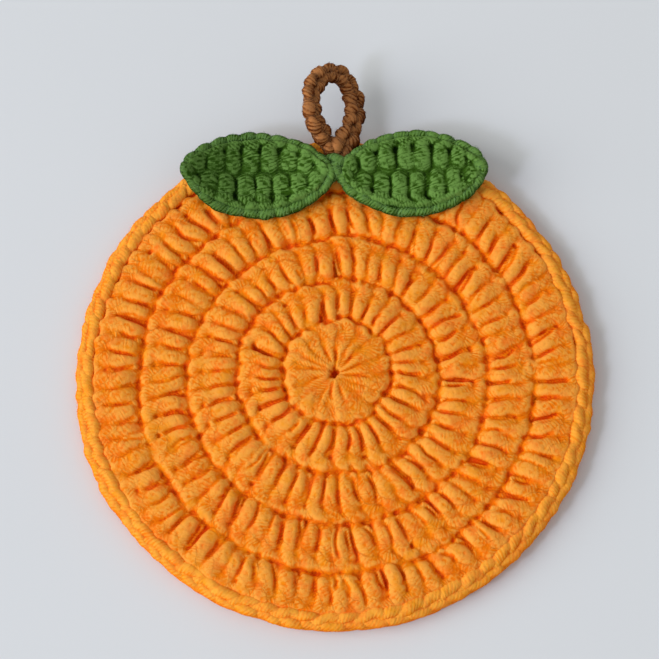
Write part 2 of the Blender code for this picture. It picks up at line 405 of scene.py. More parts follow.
def fuzz(name, yarns, material, seed, most):
    """One joined mesh of the stray fibres of some yarns."""
    rng = np.random.default_rng(seed)
    ribbons = np.concatenate([h for y in yarns for h in y.hair])
    if len(ribbons) > most:
        ribbons = ribbons[rng.permutation(len(ribbons))[:most]]
    m = len(ribbons)
    verts = warp(ribbons.reshape(-1, 3)) * MM
    quad = np.array([[0, 1, 3, 2], [2, 3, 5, 4], [4, 5, 7, 6]])
    faces = (np.arange(m)[:, None, None] * 8 + quad[None]).reshape(-1, 4)
    me = bpy.data.meshes.new(name)
    me.vertices.add(len(verts))
    me.vertices.foreach_set("co", verts.astype(np.float32).ravel())
    me.loops.add(faces.size)
    me.loops.foreach_set("vertex_index", faces.astype(np.int32).ravel())
    me.polygons.add(len(faces))
    me.polygons.foreach_set("loop_start", (np.arange(len(faces)) * 4).astype(np.int32))
    me.polygons.foreach_set("loop_total", np.full(len(faces), 4, np.int32))
    me.polygons.foreach_set("use_smooth", np.ones(len(faces), bool))
    attr = me.attributes.new("strand", "FLOAT", "POINT")
    attr.data.foreach_set("value", np.repeat(rng.uniform(0, 1, m), 8).astype(np.float32))
    me.update(calc_edges=True)
    me.materials.append(material)
    ob = bpy.data.objects.new(name, me)
    bpy.context.scene.collection.objects.link(ob)
    return ob


# ----------------------------------------------------------------------
# materials
# ----------------------------------------------------------------------
def srgb(r, g, b):
    return tuple(((c / 255 + 0.055) / 1.055) ** 2.4 if c > 10 else c / 255 / 12.92 for c in (r, g, b)) + (1.0,)


class Nodes:
    def __init__(self, name):
        self.mat = bpy.data.materials.new(name)
        self.mat.use_nodes = True
        self.tree = self.mat.node_tree
        self.tree.nodes.clear()
        self.out = self.tree.nodes.new("ShaderNodeOutputMaterial")
        self.bsdf = self.tree.nodes.new("ShaderNodeBsdfPrincipled")
        self.tree.links.new(self.bsdf.outputs[0], self.out.inputs[0])

    def new(self, kind, **props):
        n = self.tree.nodes.new(kind)
        for k, v in props.items():
            setattr(n, k, v)
        return n

    def link(self, a, b):
        self.tree.links.new(a, b)

    def math(self, op, a, b=None, c=None, clamp=False):
        n = self.new("ShaderNodeMath", operation=op, use_clamp=clamp)
        for i, x in enumerate((a, b, c)):
            if x is None:
                continue
            if isinstance(x, (int, float)):
                n.inputs[i].default_value = x
            else:
                self.link(x, n.inputs[i])
        return n.outputs[0]

    def mix(self, factor, a, b):
        n = self.new("ShaderNodeMix", data_type="RGBA")
        for sock, x in ((n.inputs[0], factor), (n.inputs[6], a), (n.inputs[7], b)):
            if isinstance(x, (int, float)):
                sock.default_value = x
            elif isinstance(x, tuple):
                sock.default_value = x
            else:
                self.link(x, sock)
        return n.outputs[2]


def yarn_material(name, dark, base, light, deep=(1.6, 4.4), plies=5, pitch=3.4, bump=0.00020, fibre=0.35, sheen=0.05, variation=0.16, glow=None, drift=None, plain=0.38, dim=None):
    """Plied yarn: soft ridges turning round the strand, fine fibres along each ply; painted shade makes it darker and
    redder down in the cloth, on the lower sides of the strands and in the grooves between the plies.
    """
    n = Nodes(name)
    uvmap = n.new("ShaderNodeUVMap", uv_map="yarn")
    sep = n.new("ShaderNodeSeparateXYZ")
    n.link(uvmap.outputs[0], sep.inputs[0])
    around, along = sep.outputs[0], sep.outputs[1]
    strand = n.new("ShaderNodeAttribute", attribute_name="strand").outputs["Fac"]
    crest = n.new("ShaderNodeAttribute", attribute_name="crest").outputs["Fac"]
    geo = n.new("ShaderNodeTexCoord")
    place = n.new("ShaderNodeSeparateXYZ")
    n.link(geo.outputs["Object"], place.inputs[0])

    def noise(scale, detail, vector, rough=0.5):
        t = n.new("ShaderNodeTexNoise", noise_dimensions="3D")
        t.inputs["Scale"].default_value = scale
        t.inputs["Detail"].default_value = detail
        t.inputs["Roughness"].default_value = rough
        n.link(vector, t.inputs["Vector"])
        return t.outputs["Fac"]

    # ridges of the plies
    turn = n.math("MULTIPLY_ADD", around, float(plies), n.math("MULTIPLY", along, plies / pitch))
    turn = n.math("MULTIPLY_ADD", n.math("SUBTRACT", noise(520.0, 1.0, geo.outputs["Object"]), 0.5), 0.6, turn)
    ridge = n.math("MULTIPLY", n.math("COSINE", n.math("MULTIPLY", turn, 2 * math.pi)), -0.42)
    clear = n.math("MULTIPLY_ADD", noise(560.0, 1.0, geo.outputs["Object"]), 2.8, -0.70, clamp=True)
    ridge = n.math("MULTIPLY", ridge, clear)
    # fibres follow the ply
    comb = n.new("ShaderNodeCombineXYZ")
    n.link(n.math("MULTIPLY", turn, 4.0), comb.inputs[0])
    n.link(n.math("MULTIPLY", around, 4.0), comb.inputs[1])
    n.link(n.math("MULTIPLY", strand, 40.0), comb.inputs[2])
    fib = noise(1.0, 3.0, comb.outputs[0], 0.65)
    fuzz = noise(1500.0, 3.0, geo.outputs["Object"], 0.7)
    blotch = noise(260.0, 3.0, geo.outputs["Object"], 0.55)
    # painted shade: 0 down in the cloth and on the strands' lower sides, 1 on the tops of the strands; fibres, fuzz,
    # blotches and strands then vary it at random
    lo, hi = deep
    lift = n.math("MULTIPLY_ADD", place.outputs[2], 1000.0 / (hi - lo), -lo / (hi - lo), clamp=True)
    top = n.math("MULTIPLY_ADD", crest, 0.85, 0.15, clamp=True)
    tone_and_painted_shade = n.math("MULTIPLY", n.math("MULTIPLY_ADD", lift, 0.28, 0.70), n.math("MULTIPLY_ADD", top, 0.66, 0.34))
    tone_and_painted_shade = n.math("MULTIPLY_ADD", n.math("SUBTRACT", fib, 0.5), fibre, tone_and_painted_shade)
    tone_and_painted_shade = n.math("MULTIPLY_ADD", n.math("SUBTRACT", fuzz, 0.5), 0.55, tone_and_painted_shade)
    tone_and_painted_shade = n.math("MULTIPLY_ADD", n.math("SUBTRACT", blotch, 0.5), 0.55, tone_and_painted_shade)
    tone_and_painted_shade = n.math("MULTIPLY_ADD", n.math("SUBTRACT", strand, 0.5), variation * 0.5, tone_and_painted_shade)
    # painted shade: the grooves between the plies are darker
    tone_and_painted_shade = n.math("MULTIPLY_ADD", ridge, plain, tone_and_painted_shade, clamp=True)
    ramp = n.new("ShaderNodeValToRGB")
    ramp.color_ramp.interpolation = "EASE"
    ramp.color_ramp.elements[0].position = 0.12
    ramp.color_ramp.elements[0].color = dark
    ramp.color_ramp.elements[1].position = 0.95
    ramp.color_ramp.elements[1].color = light
    mid = ramp.color_ramp.elements.new(0.55)
    mid.color = base
    n.link(tone_and_painted_shade, ramp.inputs[0])
    shade = ramp.outputs[0]
    if drift:
        # slow changes of hue from place to place
        patch = noise(330.0, 2.0, geo.outputs["Object"], 0.6)
        shade = n.mix(n.math("MULTIPLY", n.math("MULTIPLY_ADD", patch, 6.0, -3.15, clamp=True), 0.45), shade, drift[0])
        shade = n.mix(n.math("MULTIPLY", n.math("MULTIPLY_ADD", patch, -6.0, 2.85, clamp=True), 0.55), shade, drift[1])
    if dim:
        # painted shade: darker towards one end
        x0, x1, most = dim
        part = n.math("MULTIPLY_ADD", place.outputs[0], -1.0 / (x1 - x0), x1 / (x1 - x0), clamp=True)
        shade = n.mix(n.math("MULTIPLY", part, most), shade, (0, 0.01, 0, 1))
    n.link(shade, n.bsdf.inputs["Base Color"])
    n.link(n.math("MULTIPLY_ADD", fib, 0.2, 0.72), n.bsdf.inputs["Roughness"])
    n.bsdf.inputs["Sheen Weight"].default_value = sheen
    n.bsdf.inputs["Sheen Roughness"].default_value = 0.5
    n.bsdf.inputs["Sheen Tint"].default_value = light
    n.bsdf.inputs["Specular IOR Level"].default_value = 0.06
    if glow:
        n.bsdf.inputs["Subsurface Weight"].default_value = glow[0]
        n.bsdf.inputs["Subsurface Radius"].default_value = glow[1]
        n.bsdf.inputs["Subsurface Scale"].default_value = glow[2]
    height = n.math("MULTIPLY_ADD", fuzz, 0.9, n.math("MULTIPLY", fib, 0.5))
    height = n.math("MULTIPLY_ADD", ridge, 0.9 * plain + 0.15, height)
    b = n.new("ShaderNodeBump")
    b.inputs["Strength"].default_value = 0.7
    b.inputs["Distance"].default_value = bump
    n.link(height, b.inputs["Height"])
    n.link(b.outputs[0], n.bsdf.inputs["Normal"])
    return n.mat


def ground_material(name, dark, base):
    """The cloth seen deep between the stitches: matted yarn in shadow, its two given colours mixed by noise; where it
    shows between stitches, those colours are set dark as painted shade.
    """
    n = Nodes(name)
    geo = n.new("ShaderNodeTexCoord")
    noise = n.new("ShaderNodeTexNoise", noise_dimensions="3D")
    noise.inputs["Scale"].default_value = 1200.0
    noise.inputs["Detail"].default_value = 4.0
    n.link(geo.outputs["Object"], noise.inputs["Vector"])
    n.link(n.mix(noise.outputs["Fac"], dark, base), n.bsdf.inputs["Base Color"])
    n.bsdf.inputs["Roughness"].default_value = 0.95
    b = n.new("ShaderNodeBump")
    b.inputs["Strength"].default_value = 0.7
    b.inputs["Distance"].default_value = 0.0003
    n.link(noise.outputs["Fac"], b.inputs["Height"])
    n.link(b.outputs[0], n.bsdf.inputs["Normal"])
    return n.mat


def fibre_material(name, dark, light):
    n = Nodes(name)
    strand = n.new("ShaderNodeAttribute", attribute_name="strand").outputs["Fac"]
    n.link(n.mix(strand, dark, light), n.bsdf.inputs["Base Color"])
    n.bsdf.inputs["Roughness"].default_value = 0.8
    n.bsdf.inputs["Specular IOR Level"].default_value = 0.2
    return n.mat


ORANGE_GLOW = None
ORANGE_FIBRE = fibre_material("orange fibre", srgb(232, 108, 16), srgb(254, 168, 66))
GREEN_FIBRE = fibre_material("leaf fibre", srgb(60, 104, 40), srgb(136, 178, 108))
BROWN_FIBRE = fibre_material("stem fibre", srgb(112, 64, 30), srgb(190, 138, 94))
# deep: the heights between which the painted shade runs from dark down in the cloth to light on the tops
ORANGE = yarn_material("orange yarn", srgb(214, 64, 0), srgb(242, 118, 2), srgb(250, 163, 64), deep=(2.4, 5.3), plies=5, pitch=3.9, fibre=0.40, plain=0.32, drift=(srgb(250, 106, 26), srgb(243, 144, 16)))
RIM_ORANGE = yarn_material("rim yarn", srgb(216, 98, 6), srgb(248, 134, 14), srgb(251, 166, 58), deep=(-0.8, 4.4), plies=5, pitch=3.9, fibre=0.4, drift=(srgb(250, 114, 26), srgb(244, 150, 18)))
BACK_ORANGE = ground_material("back yarn", srgb(226, 92, 14), srgb(240, 116, 26))
GREEN = yarn_material("leaf yarn", srgb(12, 34, 0), srgb(49, 81, 12), srgb(104, 141, 66), deep=(6.0, 8.9), plies=4, pitch=2.5, fibre=0.8, plain=0.5)
# painted shade: the left leaf darker towards its outer tip, which turns up away from the light
GREEN_LEFT_SHADED = yarn_material("left leaf yarn painted shade", srgb(12, 34, 0), srgb(49, 81, 12), srgb(104, 141, 66), deep=(6.0, 8.9), plies=4, pitch=2.5, fibre=0.8, plain=0.55, dim=(-0.034, -0.009, 0.40))
BROWN = yarn_material("stem yarn", srgb(34, 4, 0), srgb(101, 45, 6), srgb(178, 116, 66), deep=(2.0, 9.0), plies=4, pitch=2.6, fibre=0.8, plain=0.5)
# painted shade: the ground colours are darker and redder than the yarn, for the cloth seen deep between the stitches
SHADED_ORANGE_GROUND = ground_material("orange ground painted shade", srgb(214, 52, 0), srgb(224, 68, 4))
SHADED_GREEN_GROUND = ground_material("leaf ground painted shade", srgb(16, 48, 10), srgb(34, 74, 22))


# ----------------------------------------------------------------------
# the round mat
# ----------------------------------------------------------------------
def boundary(k, angle):
    """Point of the k-th round's outer edge in the direction of angle, with the step where rounds join."""
    _name, _n, r, cx, cy, _z = ROUNDS[k]
    past = np.mod(angle - math.radians(SEAM_DEG), TAU)
    step = -0.9 * np.exp(-past / 0.35) + 0.5 * np.exp(-(TAU - past) / 0.25)
    wave = 0.004 * r * np.sin(3 * angle + 1.3 * k) + 0.003 * r * np.sin(7 * angle + 2.1 * k)
    if k in (0, len(ROUNDS) - 1):
        step, wave = 0 * step, 0.25 * wave
    rr = r + step + wave
    return np.stack([cx + rr * np.cos(angle), cy + rr * np.sin(angle)], -1)


def lay(k, angle, t, z):
    """Points between the edges of rounds k - 1 and k, at the fraction t of the way out."""
    t = np.asarray(t)[..., None]
    xy = boundary(k - 1, angle) * (1 - t) + boundary(k, angle) * t
    return np.concatenate([xy, np.broadcast_to(np.asarray(z, float)[..., None], xy.shape[:-1] + (1,))], -1)


def heads(k, rng):
    """Angles at which the stitches of round k end."""
    n = ROUNDS[k][1]
    turn = math.radians(SEAM_DEG) + TAU * (np.arange(n) + 0.15 * k) / n
    return turn + rng.normal(0, 0.035, n) * TAU / n


def roots(k, tops, rng):
    """Angles at which the stitches of round k start: in the heads of the round before, one pair to each of 15 groups."""
    n = ROUNDS[k][1]
    if k == 1:
        return tops[1] - 0.10 + rng.normal(0, 0.02, n)
    before = tops[k - 1]
    out = np.empty(n)
    out[0] = before[0]
    pitch = TAU / ROUNDS[k - 1][1]
    for i in range(1, n):
        group, j = divmod(i - 1, k)
        parent = 1 + group * (k - 1) + max(0, j - 1)
        shift = (-0.24, 0.24)[j] if j < 2 else 0.0
        out[i] = before[min(parent, len(before) - 1)] + (shift + 0.10) * pitch
    return out


def unwrap_to(a, b):
    """a moved by whole turns to lie near b"""
    return a + TAU * np.round((b - a) / TAU)


CROWN = 5.15


def mat_rounds(relief):
    rng = np.random.default_rng(11)
    tops = {k: heads(k, rng) for k in range(1, len(ROUNDS))}
    back = Yarn(100)
    slots = []
    for k in range(1, len(ROUNDS)):
        _name, n, radius, _cx, _cy, _crown = ROUNDS[k]
        inner = ROUNDS[k - 1][2]
        top = tops[k]
        root = unwrap_to(roots(k, tops, rng), top)
        height = radius - inner
        pitch = TAU / n
        jit = lambda s, m=n: rng.normal(0, s, m)
        loose = 1.0 if k > 1 else 1.5
        slide, stretch, rise, fat = jit(0.065 * loose), jit(0.016 * loose), jit(0.10), 1 + jit(0.075 * loose)
        bend = jit(0.08 * loose)

        def pitch_mm(t):
            return pitch * (inner + height * np.clip(t, 0, 1))

        def strand(spec, feet, share, drop, power=2.5, soft=0.22, most=2.2, wander=0.012):
            """spec rows: sideways place in stitches, place outwards 0..1, height of the top."""
            pts, half = [], []
            for (u, t, z), w in zip(spec, share):
                mix = np.clip((t - 0.02) / 0.6, 0, 1) if feet else 1.0
                a = root * (1 - mix) + top * mix + (slide + bend * math.sin(math.pi * min(max(t, 0), 1)) + u + jit(wander)) * pitch
                pts.append(lay(k, a, t + stretch + jit(0.006), z + rise + jit(0.04)))
                half.append(np.minimum(w * pitch_mm(t), most) * fat)
            return np.stack(pts, 1), np.stack(half, 1)

        lean = (0, 0, 0.90, 0.80, 0.60, 0.25)[k]

        def press(args, drop, power=2.5, soft=0.5, count=16):
            pts, half = args
            out = (np.hypot(pts[..., 0], pts[..., 1]) - inner) / height
            pts[..., 2] += lean * (0.45 - np.clip(out, 0, 1)) * np.clip(out * 5, 0, 1) + 0.5 * np.clip(1 - np.hypot(pts[..., 0], pts[..., 1]) / 34, 0, 1)
            shape = pts.shape
            relief.press(warp(pts.reshape(-1, 3)).reshape(shape), half, drop, power, soft, count)

        if k > 1:
            # the loops of the round before, out of which the posts come
            spec = [(-0.60, -0.02, 3.5), (-0.2, -0.03, 3.7), (0.2, -0.015, 3.7), (0.60, -0.025, 3.5)]
            pts, _ = strand(spec, True, (1, 1, 1, 1), 1.0, wander=0.05)
            pts[..., 2] += rng.normal(0, 0.12, pts.shape[:2])
            press((pts, np.tile((0.9, 1.1, 1.1, 0.9), (n, 1))), 0.8)
        # the second leg, lower, in the gap between two posts
        level = np.clip(rng.normal(4.40, 0.25, n), 3.8, 4.85)[:, None]
        pts, half = strand([(0.5, 0.10, 0), (0.5, 0.25, 0), (0.5, 0.45, 0), (0.5, 0.62, 0)], True, (0.24, 0.27, 0.28, 0.28), 1.0)
        pts[..., 2] = level + np.array([0.0, -0.05, 0.0, 0.25])
        press((pts, half), 0.8)
        # what lies under the heads
        pts, _ = strand([(-0.6, 0.86, 4.6), (0.0, 0.84, 4.7), (0.6, 0.86, 4.6)], False, (1, 1, 1), 1.0, wander=0.03)
        press((pts, np.tile((1.3, 1.5, 1.3), (n, 1))), 0.6)
        if k == 1:
            for v in (0.52, 0.72):
                pts, _ = strand([(-0.6, v, 4.72), (0.0, v, 4.76), (0.6, v, 4.72)], False, (1, 1, 1), 1.0, wander=0.03)
                press((pts, np.tile((1.4, 1.6, 1.4), (n, 1))), 0.5)
        # the post, and its continuation bending over its own end as the head
        if k > 1:
            post = [(0.02, -0.09, 3.75), (0.01, -0.02, 3.8), (0, 0.04, 4.0), (0, 0.10, 4.36), (0.0, 0.17, 4.80), (0.0, 0.25, 5.16), (0.01, 0.35, 5.38), (0.03, 0.50, 5.27), (0.09, 0.68, 5.0)]
            share = (0.53, 0.53, 0.52, 0.50, 0.48, 0.48, 0.485, 0.49, 0.46)
            if k < len(ROUNDS) - 1:
                head = [(-0.04, 0.30, 4.9), (-0.08, 0.46, 5.02), (-0.11, 0.60, 5.09), (-0.07, 0.72, 5.16), (0.07, 0.81, 5.18), (0.26, 0.87, 5.14), (0.45, 0.89, 5.02), (0.58, 0.89, 4.75)]
            else:
                head = [(-0.04, 0.30, 4.9), (-0.08, 0.46, 5.02), (-0.12, 0.61, 5.07), (-0.09, 0.73, 5.10), (-0.01, 0.83, 5.0), (0.10, 0.91, 4.75), (0.18, 0.97, 4.4), (0.22, 1.0, 4.0)]
            wide = (0.34, 0.37, 0.385, 0.40, 0.40, 0.375, 0.33, 0.28)
        else:
            post = [(0, 0.03, 4.75), (0, 0.10, 4.9), (0, 0.2, 5.0), (0, 0.4, 5.05), (0.02, 0.55, 5.05), (0.06, 0.68, 5.0), (0.1, 0.76, 4.8)]
            share = (0.62, 0.60, 0.58, 0.56, 0.53, 0.50, 0.47)
            head = [(-0.03, 0.40, 4.95), (-0.08, 0.55, 5.05), (-0.13, 0.68, 5.12), (-0.10, 0.80, 5.17), (0.04, 0.87, 5.15), (0.22, 0.905, 5.0), (0.38, 0.91, 4.7), (0.45, 0.90, 4.4)]
            wide = (0.34, 0.36, 0.365, 0.37, 0.36, 0.33, 0.29, 0.25)
        press(strand(post, True, share, 1.5, most=2.4), 1.15 if k > 1 else 0.45, 2.3)
        press(strand(head, True, wide, 1.5, most=1.85), 0.95 if k > 1 else 0.45, 2.3)
        # where the cloth opens between two posts
        u = 0.5 + jit(0.07)
        start, end = 0.10 + jit(0.05), 0.62 + jit(0.08)
        pts = []
        for f in (0.0, 0.5, 1.0):
            t = start * (1 - f) + end * f
            mix = np.clip((t - 0.02) / 0.6, 0, 1)
            a = root * (1 - mix) + top * mix + (u + slide + bend * math.sin(math.pi * f) + jit(0.06)) * pitch
            pts.append(lay(k, a, t, 5.0 + 0 * a))
        pts = warp(np.stack(pts, 1).reshape(-1, 3)).reshape(n, 3, 3)
        deep = np.clip(0.60 + jit(0.24), 0.1, 1.3) * (1.0 if k > 1 else 0.35)
        broad = np.clip(0.33 + jit(0.07), 0.22, 0.55) * (1.0 if k > 1 else 0.8)
        if k > 1:
            deep[[0, -1]], broad[[0, -1]] = 1.15, 0.5
        slots.append((pts[..., :2], broad, deep))
        if k > 1:
            # and the pits between their feet
            a = root + (0.5 + slide + jit(0.05)) * pitch
            pts = np.stack([lay(k, a + d * pitch, 0.01 + g + jit(0.01), 5.0 + 0 * a) for d, g in ((-0.16, 0.02), (0.0, 0.0), (0.16, 0.02))], 1)
            pts = warp(pts.reshape(-1, 3)).reshape(n, 3, 3)
            slots.append((pts[..., :2], np.full(n, 0.60), np.clip(0.35 + jit(0.25), 0.0, 1.1)))
            # the valley between this round and the one before, scalloped
            pts = np.stack([lay(k, a + d * pitch, 0.015 + g + jit(0.006), 5.0 + 0 * a) for d, g in ((-0.62, 0.03), (-0.3, 0.01), (0.0, 0.0), (0.3, 0.01), (0.62, 0.03))], 1)
            pts = warp(pts.reshape(-1, 3)).reshape(n, 5, 3)
            slots.append((pts[..., :2], np.full(n, 0.85), np.clip(0.12 + jit(0.22), -0.15, 0.6)))
            # notches between the heads of the round before
            b = top + (0.62 + slide + jit(0.05)) * pitch
            pts = np.stack([lay(k, b, v + jit(0.01), 5.0 + 0 * b) for v in (0.90, 0.95, 1.0)], 1)
            pts = warp(pts.reshape(-1, 3)).reshape(n, 3, 3)
            slots.append((pts[..., :2], np.full(n, 0.42), np.clip(0.15 + jit(0.25), 0.0, 0.7)))

        # the back of the stitch, lying on the table
        ts = np.array([0.0, 0.3, 0.7, 1.0])
        pts = np.stack([lay(k, root * (1 - t) + top * t + 0.25 * pitch, t, 1.28 + jit(0.05)) for t in ts], 1)
        rad = np.stack([np.minimum(1.3, 0.42 * pitch_mm(t)) + 0 * top for t in ts], 1)
        out_dir = unit(pts[:, 3, :2] - pts[:, 0, :2])
        ref = np.stack([-out_dir[:, 1], out_dir[:, 0], 0 * out_dir[:, 0]], 1)
        back.sweep(pts, rad, 7, 8, ref, floor=0.02)
    for slot in slots:
        relief.cut(*slot)
    relief.cut([[(-1.3, -0.95), (-0.4, -1.05), (0.5, -0.9)]], [1.0], [0.95])
    return tops, back


def rim_share(a):
    """Factor on the radius of the outline: handwork's unevenness, and the edge drawn in where the last round joins."""
    past = np.abs(np.mod(a - math.radians(91) + math.pi, TAU) - math.pi)
    return 1 + 0.0035 * (0.6 * np.cos(2 * a + 0.5) + 0.4 * np.cos(5 * a + 1.9)) - 0.042 * np.exp(-((past / math.radians(13)) ** 2))


def mat_faces(relief):
    """Finishes the face of the mat and cuts it into pieces along the valleys between rounds."""
    relief.finish()
    # the face dips under the edge chain
    gx, gy = np.meshgrid(relief.x, relief.y)
    dip = np.clip((np.hypot(gx, gy) - 53.1 * rim_share(np.arctan2(gy, gx))) / 1.6, 0, 1)
    relief.z -= 1.3 * dip * dip * (3 - 2 * dip)
    gx, gy = np.meshgrid(0.5 * (relief.x[1:] + relief.x[:-1]), 0.5 * (relief.y[1:] + relief.y[:-1]))
    far = np.hypot(gx, gy)
    angle = np.arctan2(gy, gx)
    ring = np.zeros(far.shape, int)
    for k in (2, 3, 4):
        edge = boundary(k, angle)
        ring += far > np.hypot(edge[..., 0], edge[..., 1])
    inside = far < 54.9 * rim_share(angle)
    return [
        relief.mesh("rounds_1_2_face", ORANGE, inside & (ring == 0)),
        relief.mesh("round_3_face", ORANGE, inside & (ring == 1)),
        relief.mesh("round_4_face", ORANGE, inside & (ring == 2)),
        relief.mesh("round_5_left_face", ORANGE, inside & (ring == 3) & (gx < 0.4)),
        relief.mesh("round_5_right_face", ORANGE, inside & (ring == 3) & (gx >= 0.4)),
    ]


def mat_rim(top, relief):
    """The slip-stitch edge: a chain seen from above, its inner legs high and its outer legs low on the side."""
    rng = np.random.default_rng(21)
    n = RIM_LINKS
    yarn = Yarn(200)
    th = top + TAU / n * 0.35
    pitch = TAU / n
    jit = lambda s: rng.normal(0, s, n)

    def at(a, r, z):
        wave = rim_share(a)
        return np.stack([r * wave * np.cos(a), r * wave * np.sin(a), z + 0 * a], -1)

    # inner legs: each starts under the one before and runs on beside the next
    slide, out, rise = jit(0.04), jit(0.10), jit(0.08)
    spec = ((-0.80, 55.70, 1.9), (-0.50, 55.25, 2.75), (-0.1, 54.60, 3.38), (0.35, 54.25, 3.50), (0.75, 54.35, 3.20), (1.02, 54.75, 2.2))
    pts = np.stack([at(th + (u + slide + jit(0.015)) * pitch, r + out + jit(0.04), z + rise + jit(0.05)) for u, r, z in spec], 1)
    yarn.sweep(pts, np.tile((0.95, 1.20, 1.36, 1.34, 1.15, 0.75), (n, 1)) * (1 + jit(0.05))[:, None], 36, 14, np.tile((0, 0, 1.0), (n, 1)), hairs=12, rough=0.02, ridge=0.09, lumps=0.08, taper=0.6)
    # outer legs
    spec = ((-0.80, 55.10, 1.9), (-0.48, 55.60, 2.5), (-0.05, 56.02, 2.75), (0.38, 56.12, 2.6), (0.75, 55.85, 2.2), (1.0, 55.5, 1.5))
    pts = np.stack([at(th + (0.3 + u + slide + jit(0.015)) * pitch, r + out * 0.5 + jit(0.05), z + jit(0.07)) for u, r, z in spec], 1)
    yarn.hair_floor = 0.6
    yarn.sweep(pts, np.tile((0.9, 1.15, 1.22, 1.20, 1.05, 0.8), (n, 1)) * (1 + jit(0.05))[:, None], 32, 12, np.tile((0, 0, 1.0), (n, 1)), hairs=8, rough=0.02, ridge=0.09, lumps=0.08)
    # the lowest strand, on the table
    spec = ((-0.7, 55.95, 1.2), (-0.2, 56.05, 1.2), (0.3, 56.05, 1.2), (0.8, 55.95, 1.2))
    pts = np.stack([at(th + u * pitch, r + jit(0.05), z + jit(0.03)) for u, r, z in spec], 1)
    yarn.sweep(pts, np.full(pts.shape[:2], 1.14), 10, 10, np.tile((0, 0, 1.0), (n, 1)), floor=0.02)
    return yarn.mesh("rim_chain", RIM_ORANGE), yarn


def disc(name, radius, low, high, material, centre=(0.0, 0.0), rings=24, segments=120):
    """A thin closed sheet: top and bottom grids joined round the edge."""
    verts, faces = [], []
    for z in (low, high):
        verts.append((centre[0], centre[1], z))
        for i in range(1, rings + 1):
            r = radius * i / rings
            for j in range(segments):
                a = TAU * j / segments
                verts.append((centre[0] + r * math.cos(a), centre[1] + r * math.sin(a), z))
    half = 1 + rings * segments
    for base, up in ((0, False), (half, True)):
        for j in range(segments):
            j2 = (j + 1) % segments
            tri = (base, base + 1 + j, base + 1 + j2)
            faces.append(tri if up else tri[::-1])
        for i in range(rings - 1):
            for j in range(segments):
                j2 = (j + 1) % segments
                a, b = base + 1 + i * segments, base + 1 + (i + 1) * segments
                quad = (a + j, b + j, b + j2, a + j2)
                faces.append(quad if up else quad[::-1])
    a, b = 1 + (rings - 1) * segments, half + 1 + (rings - 1) * segments
    for j in range(segments):
        j2 = (j + 1) % segments
        faces.append((a + j, a + j2, b + j2, b + j))
    me = bpy.data.meshes.new(name)
    me.from_pydata([tuple(c * MM for c in v) for v in verts], [], faces)
    me.validate()
    me.materials.append(material)
    ob = bpy.data.objects.new(name, me)
    bpy.context.scene.collection.objects.link(ob)
    return ob


# ----------------------------------------------------------------------
# leaves
# ----------------------------------------------------------------------
# name         centre x   centre y   half length   half width   turn   turned up: left tip, right tip, outer side
LEAVES = (
    ("leaf_left",  -17.50,   45.35,      17.25,        10.2,     -0.6,   (3.6, 1.8, 0.0)),
    ("leaf_right",  17.55,   46.00,      17.00,        10.2,      2.0,   (1.0, 1.2, 0.0)),
)
LEAF_POWER = 0.64


